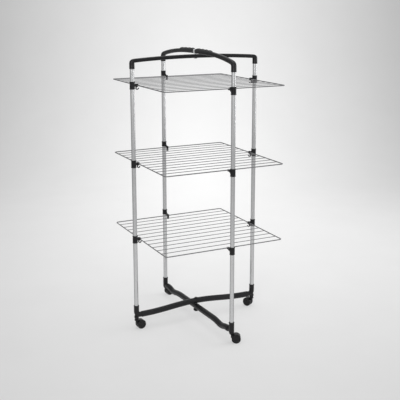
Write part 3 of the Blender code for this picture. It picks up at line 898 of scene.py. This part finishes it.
def make_shelf():
    """A wire shelf: an edge wire bent at its corners, and rods welded across."""
    rings = []
    corners = ((1, 1, 0), (-1, 1, 90), (-1, -1, 180), (1, -1, 270))
    for x_side, y_side, start in corners:
        centre_x = x_side * (SHELF_HALF_X - SHELF_CORNER)
        centre_y = y_side * (SHELF_HALF_Y - SHELF_CORNER)
        for i in range(CORNER_STEPS + 1):
            angle = math.radians(start + 90 * i / CORNER_STEPS)
            out = Vector((math.cos(angle), math.sin(angle), 0))
            middle = Vector((centre_x, centre_y, 0)) + out * SHELF_CORNER
            ring = []
            for side, depth in oval(EDGE_RADIUS, EDGE_RADIUS, CIRCLE, EDGE_SEGMENTS):
                ring.append(middle + out * side + Vector((0, 0, depth)))
            rings.append(ring)
    loop = loft(rings, cyclic=True)
    rods = []
    reach = SHELF_HALF_X
    profile = [
        (0.0, reach),
        (WELD_TIP_RADIUS, reach),
        (WELD_RADIUS, reach - WELD_TIP),
        (WELD_NECK_RADIUS, reach - WELD_NECK),
        (ROD_RADIUS, reach - WELD_LENGTH - WELD_FADE),
    ]
    profile += [(radius, -height) for radius, height in profile[::-1]]
    for i in range(1, ROD_GAPS):
        offset = 2 * SHELF_HALF_Y * i / ROD_GAPS - SHELF_HALF_Y
        rod = along_x(lathe(profile, ROD_SEGMENTS))
        rods.append(turned(rod, y=offset, z=ROD_LIFT))
    return boolean(loop, together(rods), "UNION")


# Collars, clips and hooks

COLLAR_HALF = 0.018
COLLAR_RADIUS = 0.0128
COLLAR_BORE = 0.0103
COLLAR_RECESS = 0.0007
COLLAR_LIP = 0.004
COLLAR_EDGE = 0.0008
COLLAR_SKIN = 0.0108
CLIP_REACH = A_REACH - SHELF_HALF_X
BOSS_RADIUS = 0.0078
BOSS_BORE = 0.0045
BOSS_GAP = 0.008
BOSS_EDGE = 0.0006
FIN_REACH = (0.0085, 0.0125)
FIN_HALF = 0.0013
FIN_RISE = (0.006, 0.0155)
FIN_EDGE = 0.0005
STRAP_HALF_WIDTH = 0.003
STRAP_REACH = (0.0105, 0.0133)
STRAP_HALF_HEIGHT = 0.013
STRAP_EDGE = 0.0006


def collar_shapes(low, high):
    """A sleeve around a post, with a raised lip at each end."""
    return [
        sleeve(COLLAR_RADIUS - COLLAR_RECESS, COLLAR_BORE, low, high, COLLAR_EDGE),
        sleeve(COLLAR_RADIUS, COLLAR_BORE, low, low + COLLAR_LIP, COLLAR_EDGE),
        sleeve(COLLAR_RADIUS, COLLAR_BORE, high - COLLAR_LIP, high, COLLAR_EDGE),
    ]


def make_pivot_collar():
    """A collar with a round boss along +X that carries a clip."""
    shapes = collar_shapes(-COLLAR_HALF, COLLAR_HALF)
    face = CLIP_REACH - BOSS_GAP
    shapes.append(along_x(sleeve(BOSS_RADIUS, BOSS_BORE, COLLAR_SKIN, face, BOSS_EDGE)))
    for sign in (-1, 1):
        rise = sorted(sign * height for height in FIN_RISE)
        shapes.append(block(FIN_REACH, (-FIN_HALF, FIN_HALF), rise, FIN_EDGE))
    width = (-STRAP_HALF_WIDTH, STRAP_HALF_WIDTH)
    rise = (-STRAP_HALF_HEIGHT, STRAP_HALF_HEIGHT)
    for sign in (-1, 1):
        strap = block(width, STRAP_REACH, rise, STRAP_EDGE)
        if sign < 0:
            turned(strap, angle=math.pi)
        shapes.append(strap)
    return moulded(shapes)


CLIP_RADIUS = 0.0077
CLIP_GAP = 0.0004
CLIP_WIDTH = 0.012
RING_EDGE = 0.001
MOUTH_REACH = 0.012
MOUTH_HALF_WIDTH = 0.02
MOUTH_HALF_GAP = 0.0021
MOUTH_EDGE = 0.0002
STUB_RADIUS = 0.0042
STUB_START = -0.0115
STUB_STOP = -0.005
STUB_EDGE = 0.0005
CURL_START = (-0.0028, -0.0052)
CURL_LOW = (0.0016, -0.0192)
CURL_TIP = (0.0088, -0.0118)
CURL_DROP_PULL = 0.0075
CURL_RISE_PULL = 0.004
CURL_DROP_STEPS = 9
CURL_RISE_STEPS = 8
CURL_TAPER_STEPS = 16
CURL_THICKNESS = 0.0024
CURL_THINNING = 0.0006
CURL_HALF_WIDTH = 0.0052
CURL_NARROWING = 0.0014
CURL_SQUARENESS = 2.8
CURL_SEGMENTS = 20


def make_clip():
    """A split ring around the side wire, with a stub behind it and a hook below."""
    ring = along_ring(CLIP_RADIUS, EDGE_RADIUS + CLIP_GAP, CLIP_WIDTH)
    gap = (ROD_LIFT - MOUTH_HALF_GAP, ROD_LIFT + MOUTH_HALF_GAP)
    width = (-MOUTH_HALF_WIDTH, MOUTH_HALF_WIDTH)
    mouth = block((0.0, MOUTH_REACH), width, gap, MOUTH_EDGE)
    ring = boolean(ring, mouth, "DIFFERENCE")
    stub = along_x(rounded_rod(STUB_RADIUS, STUB_START, STUB_STOP, STUB_EDGE))
    down = (0, -1)
    inwards = (1, 0)
    up = (0, 1)
    drop = curve_between(CURL_START, down, CURL_LOW, inwards, CURL_DROP_PULL, CURL_DROP_STEPS)
    rise = curve_between(CURL_LOW, inwards, CURL_TIP, up, CURL_RISE_PULL, CURL_RISE_STEPS)
    rings = []
    for i, (point, way) in enumerate(drop + rise[1:]):
        thick = CURL_THICKNESS - CURL_THINNING * i / CURL_TAPER_STEPS
        wide = CURL_HALF_WIDTH - CURL_NARROWING * i / CURL_TAPER_STEPS
        normal = (-way.y, way.x)
        shape = oval(wide, thick, CURL_SQUARENESS, CURL_SEGMENTS)
        rings.append(ring_at(point.x, point.y, normal, shape))
    return moulded([ring, stub, loft(rings)], voxel=0.00042, rounds=3, keep=0.3)


def along_ring(outer, inner, width):
    """A sleeve on the Y axis."""
    ring = sleeve(outer, inner, -width / 2, width / 2, RING_EDGE)
    return turned(ring, angle=math.pi / 2, axis="X")


WIRE_REACH = B_REACH - SHELF_HALF_Y
HOOK_COLLARS = {1: (-0.024, 0.012), -1: (0.001, 0.027)}
HOOK_LIP_ENDS = {1: 0.0024, -1: -0.018}
HOOK_SEAT_GAP = 0.0003
HOOK_LIP_GAP = 0.0012
HOOK_LIP_THICKNESS = 0.0032
HOOK_LIP_HALF = 0.0058
HOOK_EDGE = 0.0008
ARM_THICKNESS = 0.0042
ARM_HALF = 0.006
BRACKET_STEPS = 4
BRACKET_START = 0.0125
BRACKET_REACH = 0.0042
BRACKET_DROP = 0.0028
BRACKET_LAP = 1.4
BRACKET_HALF = 0.004
BRACKET_EDGE = 0.0005
LUG_HALF = 0.0045
LUG_REACH = (COLLAR_SKIN, 0.0198)
LUG_RISE = (-0.0015, 0.0095)
LUG_EDGE = 0.0014
KNOB_RADIUS = 0.0048
KNOB_START = 0.015
KNOB_STOP = 0.0205
KNOB_EDGE = 0.001
KNOB_HEIGHT = 0.004


def make_hook(side):
    """A collar with an arm under (1) or over (-1) the shelf's edge wire."""
    seat = EDGE_RADIUS + HOOK_SEAT_GAP
    lip_start = WIRE_REACH + EDGE_RADIUS + HOOK_LIP_GAP
    lip_end = lip_start + HOOK_LIP_THICKNESS
    low, high = HOOK_COLLARS[side]
    shapes = collar_shapes(low, high)
    arm_far = -side * (seat + ARM_THICKNESS)
    arm = sorted((-side * seat, arm_far))
    lip = sorted((arm_far, HOOK_LIP_ENDS[side]))
    shapes.append(block((COLLAR_SKIN, lip_end), (-ARM_HALF, ARM_HALF), arm, HOOK_EDGE))
    lip_width = (-HOOK_LIP_HALF, HOOK_LIP_HALF)
    shapes.append(block((lip_start, lip_end), lip_width, lip, HOOK_EDGE))
    for step in range(BRACKET_STEPS):
        reach = BRACKET_START + BRACKET_REACH * (BRACKET_STEPS - 1 - step)
        near = arm_far - side * BRACKET_DROP * step
        far = arm_far - side * BRACKET_DROP * (step + BRACKET_LAP)
        width = (-BRACKET_HALF, BRACKET_HALF)
        shapes.append(block((COLLAR_SKIN, reach), width, sorted((near, far)), BRACKET_EDGE))
    if side > 0:
        shapes.append(block((-LUG_HALF, LUG_HALF), LUG_REACH, LUG_RISE, LUG_EDGE))
        knob = rounded_rod(KNOB_RADIUS, KNOB_START, KNOB_STOP, KNOB_EDGE)
        knob = turned(knob, angle=-math.pi / 2, axis="X")
        shapes.append(turned(knob, z=KNOB_HEIGHT))
    return moulded(shapes)


# Casters

# A wheel's outer face, as (radius, rise) points from its middle to its tread
WHEEL_FACE = [
    (0.0, -0.0002),
    (0.0034, -0.0004),
    (0.0058, -0.0012),
    (0.0068, -0.0026),
    (0.0090, -0.0030),
    (0.0120, -0.0030),
    (0.0150, -0.0028),
    (0.0170, -0.0022),
    (0.0180, 0.0),
]
WHEEL_BORE = 0.0032
WHEEL_BORE_END = 0.0009
WHEEL_EDGE = 0.0016
WHEEL_SEGMENTS = 72
DISH_DEPTH = 0.0036
DISH_RADIUS = 0.0172
SPOKES = 6
SPOKE_START = 0.0072
SPOKE_STOP = 0.0165
SPOKE_BLEND = 0.0012
SPOKE_DEPTH = 0.0009
SPOKE_GAP = 1.6


def spoke_rise(radius, angle):
    """How far a wheel's face sinks between its spokes, as a negative rise."""
    starts = smoothstep((radius - SPOKE_START) / SPOKE_BLEND)
    stops = smoothstep((SPOKE_STOP - radius) / SPOKE_BLEND)
    between = smoothstep(0.5 + SPOKE_GAP * math.cos(SPOKES * angle))
    return -SPOKE_DEPTH * (starts * stops) * between


def make_wheel():
    """A wheel on the Y axis, its dished outer face towards +Y."""
    half = WHEEL_WIDTH / 2
    corners = raised(WHEEL_FACE, half)
    corners += [
        (AXLE_HEIGHT, half),
        (AXLE_HEIGHT, -half),
        (WHEEL_BORE, -half),
        (WHEEL_BORE, half - WHEEL_BORE_END),
        (0.0, half - WHEEL_BORE_END),
    ]
    mesh = lathe(eased(corners, WHEEL_EDGE), WHEEL_SEGMENTS)
    for vertex in mesh.vertices:
        radius = math.hypot(vertex.co.x, vertex.co.y)
        if vertex.co.z > half - DISH_DEPTH and radius < DISH_RADIUS:
            vertex.co.z += spoke_rise(radius, math.atan2(vertex.co.y, vertex.co.x))
    return turned(mesh, angle=-math.pi / 2, axis="X")


HUB_RADIUS = 0.011
HUB_BOTTOM = 0.044
HUB_TOP = 0.048
HUB_EDGE = 0.001
COLLET_RADIUS = 0.006
COLLET_BORE = 0.0037
COLLET_BOTTOM = 0.0382
COLLET_TOP = 0.045
WEB_BACK = 0.003
WEB_LAP = 0.002
WEB_HALF = 0.0038
WEB_RISE = (0.024, 0.0452)
WEB_EDGE = 0.0006
CHEEK_RADIUS = 0.0135
CHEEK_HALF = 0.004
CHEEK_EDGE = 0.0008
HOOD_SEGMENTS = 48
GUARD_GAP = 0.0004
GUARD_THICKNESS = 0.0011
GUARD_HALF_THICKNESS = 0.00055
GUARD_HALF_WIDTH = 0.015
GUARD_SQUARENESS = 6.0
GUARD_SEGMENTS = 28
GUARD_START = 28
GUARD_SWEEP = 142
GUARD_STEPS = 26


def make_guard():
    """A thin curved guard over both wheels."""
    inner = AXLE_HEIGHT + GUARD_GAP
    outer = inner + GUARD_THICKNESS
    middle = (inner + outer) / 2
    shape = oval(GUARD_HALF_WIDTH, GUARD_HALF_THICKNESS, GUARD_SQUARENESS, GUARD_SEGMENTS)
    axle = Vector((TRAIL, 0, AXLE_HEIGHT))
    rings = []
    for i in range(GUARD_STEPS + 1):
        angle = math.radians(GUARD_START + GUARD_SWEEP * i / GUARD_STEPS)
        out = Vector((math.cos(angle), 0, math.sin(angle)))
        ring = []
        for side, depth in shape:
            ring.append(axle + out * (middle + depth) + Vector((0, side, 0)))
        rings.append(ring)
    return loft(rings)


def make_hood():
    """A caster's body: hub, web and a guard over both wheels, the axle along +X."""
    hub = rounded_rod(HUB_RADIUS, HUB_BOTTOM, HUB_TOP, HUB_EDGE, HOOD_SEGMENTS)
    collet = sleeve(COLLET_RADIUS, COLLET_BORE, COLLET_BOTTOM, COLLET_TOP, WEB_EDGE)
    web = block((-WEB_BACK, TRAIL + WEB_LAP), (-WEB_HALF, WEB_HALF), WEB_RISE, WEB_EDGE)
    cheek = rounded_rod(CHEEK_RADIUS, -CHEEK_HALF, CHEEK_HALF, CHEEK_EDGE, HOOD_SEGMENTS)
    cheek = turned(cheek, x=TRAIL, z=AXLE_HEIGHT, angle=math.pi / 2, axis="X")
    shapes = [hub, collet, web, cheek, make_guard()]
    return moulded(shapes, voxel=0.00045, rounds=4, keep=0.3)


def place_caster(name, body_frame, spot, angle):
    """Show one caster's pieces."""
    at_stem = standing(spot, angle)
    at_axle = at_stem @ Matrix.Translation((TRAIL, 0, AXLE_HEIGHT))
    caster = "caster_" + name
    wheels = "wheels_" + name
    place("stem_pin_" + name, STEM, ZINC, body_frame, ["stem_" + name], at_stem)
    place("caster_body_" + name, HOOD, BLACK, caster, ["hood_" + name], at_stem)
    place("axle_pin_" + name, AXLE, ZINC, wheels, ["axle_" + name], at_axle)
    for letter, side in (("a", 1), ("b", -1)):
        shift = Matrix.Translation((0, side * WHEEL_OFFSET, 0))
        flip = Matrix.Rotation(0.0 if side > 0 else math.pi, 4, "Z")
        node = f"wheel_{name}_{letter}"
        label = f"wheel_disc_{name}_{letter}"
        place(label, WHEEL, TYRE, wheels, [node], at_axle @ shift @ flip)


# Assembly

STEM_RADIUS = 0.0035
STEM_BOTTOM = 0.0392
STEM_TOP = 0.076
STEM_EDGE = 0.0006
AXLE_RADIUS = 0.0029
AXLE_HALF = 0.0146
AXLE_EDGE = 0.0008

STEM = rounded_rod(STEM_RADIUS, STEM_BOTTOM, STEM_TOP, STEM_EDGE)
AXLE = turned(
    rounded_rod(AXLE_RADIUS, -AXLE_HALF, AXLE_HALF, AXLE_EDGE),
    angle=math.pi / 2,
    axis="X",
)
WHEEL = make_wheel()
HOOD = make_hood()
POSTS = {
    letter: make_post(FOOT_TOPS[letter] - TUBE_INSERT, POST_TOP)
    for letter in ("a", "b")
}
FEET = {letter: make_foot(letter) for letter in ("a", "b")}
COLLAR = make_pivot_collar()
CLIP = make_clip()
HOOKS = {"front": make_hook(1), "rear": make_hook(-1)}
SHELF = make_shelf()

for side_name, (body, letter, spot, inward) in SIDES.items():
    at_post = standing(spot, inward)
    post_node = ["post_" + side_name]
    foot_node = ["foot_" + side_name]
    place("tube_" + side_name, POSTS[letter], TUBE, body, post_node, at_post)
    place("elbow_" + side_name, FEET[letter], BLACK, body, foot_node, at_post)
    place_caster(side_name, body, spot, CASTER_ANGLES[side_name])
    for tier, height in enumerate(TIER_HEIGHTS, start=1):
        holder = "collar" if letter == "a" else "hook"
        mesh = COLLAR if letter == "a" else HOOKS[side_name]
        node = f"{holder}_{side_name}_{tier}"
        label = f"holder_{side_name}_{tier}"
        at_tier = standing(spot, inward, height)
        place(label, mesh, BLACK, body, [node], at_tier)

for tier, height in enumerate(TIER_HEIGHTS, start=1):
    body = f"shelf_unit_{tier}"
    level = standing(Vector((0, 0, height)), 0.0)
    place(f"wires_{tier}", SHELF, WIRE, body, [f"shelf_{tier}"], level)
    for side_name, sign, inward in (("left", -1, 0.0), ("right", 1, math.pi)):
        at_clip = standing(Vector((sign * SHELF_HALF_X, 0, height)), inward)
        node = f"clip_{side_name}_{tier}"
        label = f"wire_clip_{side_name}_{tier}"
        place(label, CLIP, BLACK, body, [node], at_clip)

across = Matrix.Rotation(math.pi / 2 + B_TURN, 4, "Z")
place("bow_moulding_a", make_bow("a"), BLACK, "frame_a", ["bow_a"])
place("bow_moulding_b", make_bow("b"), BLACK, "frame_b", ["bow_b"], across)
place("bow_sleeve", make_band(), BAND, "frame_b", ["bow_b_band"], across)
for name, side in (("front", -1), ("rear", 1)):
    grip = make_grip(side)
    place("finger_grip_" + name, grip, RUBBER, "frame_b", ["grip_" + name], across)
bar_a = make_bar("a", A_REACH)
bar_b = make_bar("b", B_REACH)
place("bar_moulding_a", bar_a, BLACK, "frame_a", ["base_bar_a"])
place("bar_moulding_b", bar_b, BLACK, "frame_b", ["base_bar_b"], across)

# The pins and covers at the two crossings, as (radius, rise) profiles
SHAFT_RADIUS = 0.004
SHAFT_DROP = 0.0105
SHAFT_PROUD = 0.0002
SHAFT_EDGE = 0.0006
DOME_PROFILE = [
    (0.0, 0.0030),
    (0.0050, 0.0027),
    (0.0090, 0.0014),
    (0.0094, 0.0003),
    (0.0, 0.0003),
]
DOME_EDGE = 0.0012
NUT_GAP = 0.001
NUT_BORE = 0.0043
NUT_BORE_END = -0.0105
NUT_PROFILE = [
    (NUT_BORE, -0.0040),
    (NUT_BORE, 0.0),
    (0.0135, 0.0),
    (0.0135, -0.0050),
    (0.0105, -0.0098),
    (0.0, -0.0120),
]
NUT_EDGE = 0.0009
RIVET_PROFILE = [
    (0.0, 0.0355),
    (0.0030, 0.0355),
    (0.0030, -0.0003),
    (0.0070, -0.0003),
    (0.0066, -0.0032),
    (0.0, -0.0043),
]
RIVET_EDGE = 0.0008
COVER_SEGMENTS = 48
RIVET_SEGMENTS = 40

hub_top = BAR_ENDS["a"] + BAR_RISES["a"] + BAR_RADIUS
hub_bottom = BAR_ENDS["b"] + BAR_RISES["b"] - BAR_RADIUS
nut_top = hub_bottom - NUT_GAP
bow_under = BOWS["a"]["top"] - BOWS["a"]["depth"]

shaft = rounded_rod(SHAFT_RADIUS, hub_bottom - SHAFT_DROP, hub_top + SHAFT_PROUD, SHAFT_EDGE)
dome = lathe(eased(raised(DOME_PROFILE, hub_top), DOME_EDGE), COVER_SEGMENTS)
nut_bore = raised([(0.0, NUT_BORE_END), (NUT_BORE, NUT_BORE_END)], nut_top)
nut = lathe(nut_bore + eased(raised(NUT_PROFILE, nut_top), NUT_EDGE), COVER_SEGMENTS)
rivet = lathe(eased(raised(RIVET_PROFILE, bow_under), RIVET_EDGE), RIVET_SEGMENTS)
place("pivot_bolt", shaft, ZINC, "frame_a", ["hub_pin"])
place("pivot_dome", dome, BLACK, "frame_a", ["hub_pin"])
place("pivot_cap", nut, BLACK, "frame_a", ["hub_nut"])
place("bow_rivet", rivet, ZINC, "frame_a", ["bow_pin"])

# Studio

CAMERA_SPOT = (-1.661, -3.378, 1.600)
CAMERA_HEADING = math.radians(26.61)
CAMERA_DIP = math.radians(12.45)
CAMERA_LENS = 70.72
CAMERA_SENSOR = 36.0
CAMERA_SHIFT = (-0.004, -0.075)

# A painted pool of light on the studio paper: its centre, its spread, the painted shade at
# its edge and its reach
LIGHT_POOL_CENTRE = (0.0, 2.9, 0.5)
LIGHT_POOL_SPREAD = (2.0, 4.4, 5.0)
LIGHT_POOL_EDGE_SHADE = 0.45
LIGHT_POOL_REACH = 1.28
PAPER_TONE = 0.58
# Strength of the paper's painted glow
PAPER_PAINTED_GLOW = 0.60
FLOOR_HALF = 15.0
WALL_START = 2.7
WALL_TOP = 12.0
SWEEP_RADIUS = 1.7
SWEEP_STEPS = 24

LIGHTS = {
    "key": dict(spot=(-1.9, -3.2, 2.4), aim=(0, 0, 0.8), size=1.3, power=45),
    "side": dict(spot=(3.0, -0.6, 1.4), aim=(0, 0, 0.7), size=1.6, power=34),
    "top": dict(spot=(0.3, 0.2, 4.2), aim=(0, 0, 0), size=3.0, power=34),
}
WORLD_STRENGTH = 0.55

camera_data = bpy.data.cameras.new("camera")
camera_data.lens = CAMERA_LENS
camera_data.sensor_width = CAMERA_SENSOR
camera_data.shift_x, camera_data.shift_y = CAMERA_SHIFT
camera = bpy.data.objects.new("camera", camera_data)
camera.location = CAMERA_SPOT
camera.rotation_euler = (math.pi / 2 - CAMERA_DIP, 0, -CAMERA_HEADING)
bpy.context.scene.collection.objects.link(camera)
bpy.context.scene.camera = camera


def make_stage_paint():
    """Pale studio paper with a painted pool of light, brightest behind the rack and fading to
    painted shade towards its edges, a little uneven, and with a painted glow.
    """
    look = Shader("studio_floor", (0.5, 0.5, 0.5), 0.9, gloss=0.1)
    mapping = look.tree.nodes.new("ShaderNodeMapping")
    mapping.vector_type = "TEXTURE"
    mapping.inputs["Location"].default_value = LIGHT_POOL_CENTRE
    mapping.inputs["Scale"].default_value = LIGHT_POOL_SPREAD
    look.tree.links.new(look.place, mapping.inputs["Vector"])
    length = look.tree.nodes.new("ShaderNodeVectorMath")
    length.operation = "LENGTH"
    look.tree.links.new(mapping.outputs["Vector"], length.inputs[0])
    # Painted pool of light: full brightness at its centre, fading to painted shade out at its
    # reach.
    shade = look.spread(length.outputs["Value"], 1.0, LIGHT_POOL_EDGE_SHADE, 0.0, LIGHT_POOL_REACH)
    cloud = look.spread(look.noise(3.0), 0.98, 1.0)
    shade = look.product(shade, cloud)
    paper = look.tree.nodes.new("ShaderNodeCombineColor")
    for channel in ("Red", "Green", "Blue"):
        look.tree.links.new(shade, paper.inputs[channel])
    dim = look.node("ShaderNodeMix")
    dim.data_type = "RGBA"
    dim.blend_type = "MULTIPLY"
    dim.inputs["Factor"].default_value = 1.0
    dim.inputs["B"].default_value = (PAPER_TONE, PAPER_TONE, PAPER_TONE, 1)
    look.tree.links.new(paper.outputs["Color"], dim.inputs["A"])
    look.tree.links.new(dim.outputs["Result"], look.shader.inputs["Base Color"])
    # Painted glow: the paper gives off light of its own, shaped by the same painted pool of
    # light.
    look.tree.links.new(paper.outputs["Color"], look.shader.inputs["Emission Color"])
    look.shader.inputs["Emission Strength"].default_value = PAPER_PAINTED_GLOW
    return look.material


def make_floor():
    """A floor that sweeps up into a backdrop behind the rack."""
    line = [(-FLOOR_HALF, 0.0), (WALL_START, 0.0)]
    for i in range(1, SWEEP_STEPS + 1):
        angle = math.pi / 2 * i / SWEEP_STEPS
        back = WALL_START + SWEEP_RADIUS * math.sin(angle)
        line.append((back, SWEEP_RADIUS - SWEEP_RADIUS * math.cos(angle)))
    line.append((WALL_START + SWEEP_RADIUS, WALL_TOP))
    verts = []
    for y, z in line:
        verts.append((-FLOOR_HALF, y, z))
        verts.append((FLOOR_HALF, y, z))
    faces = [(2 * i, 2 * i + 1, 2 * i + 3, 2 * i + 2) for i in range(len(line) - 1)]
    mesh = bpy.data.meshes.new("studio_floor")
    mesh.from_pydata(verts, [], faces)
    mesh.materials.append(make_stage_paint())
    mesh.shade_smooth()
    floor = bpy.data.objects.new("studio_floor", mesh)
    floor.rotation_euler = (0, 0, -CAMERA_HEADING)
    bpy.context.scene.collection.objects.link(floor)


def add_light(name, spot, aim, size, power):
    """A square soft light."""
    data = bpy.data.lights.new(name, "AREA")
    data.shape = "SQUARE"
    data.size = size
    data.energy = power
    light = bpy.data.objects.new(name, data)
    light.location = spot
    way = Vector(aim) - Vector(spot)
    light.rotation_euler = way.to_track_quat("-Z", "Y").to_euler()
    bpy.context.scene.collection.objects.link(light)


make_floor()
for light_name, values in LIGHTS.items():
    add_light(light_name, **values)
world = bpy.data.worlds.new("studio")
world.use_nodes = True
world.node_tree.nodes["Background"].inputs["Color"].default_value = (1, 1, 1, 1)
world.node_tree.nodes["Background"].inputs["Strength"].default_value = WORLD_STRENGTH
bpy.context.scene.world = world
bpy.context.scene.view_settings.view_transform = "Standard"
